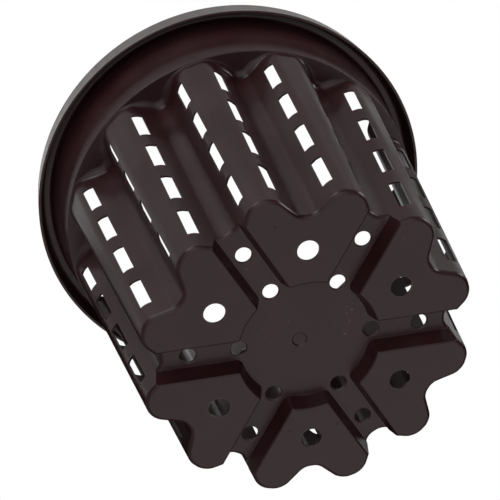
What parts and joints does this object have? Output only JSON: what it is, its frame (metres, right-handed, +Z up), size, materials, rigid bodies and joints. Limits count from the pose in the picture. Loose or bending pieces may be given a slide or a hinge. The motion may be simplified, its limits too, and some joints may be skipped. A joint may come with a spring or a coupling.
{
  "type": "air pruning pot",
  "caption": "Round fluted nursery pot with slotted walls, hollow feet round a raised drained floor, a shoulder ledge and a turned-down rim.",
  "frame": {"origin": "on the pot's axis, in the plane that the feet stand on", "axes": "+Z up along the pot's axis, from the feet to the rim; +X through the middle of one foot"},
  "size_m": [0.2829, 0.283, 0.2355],
  "materials": {
    "black_plastic": "satin moulded polypropylene, near black"
  },
  "bodies": {
    "root": {"pot": "black_plastic"}
  },
  "joints": []
}
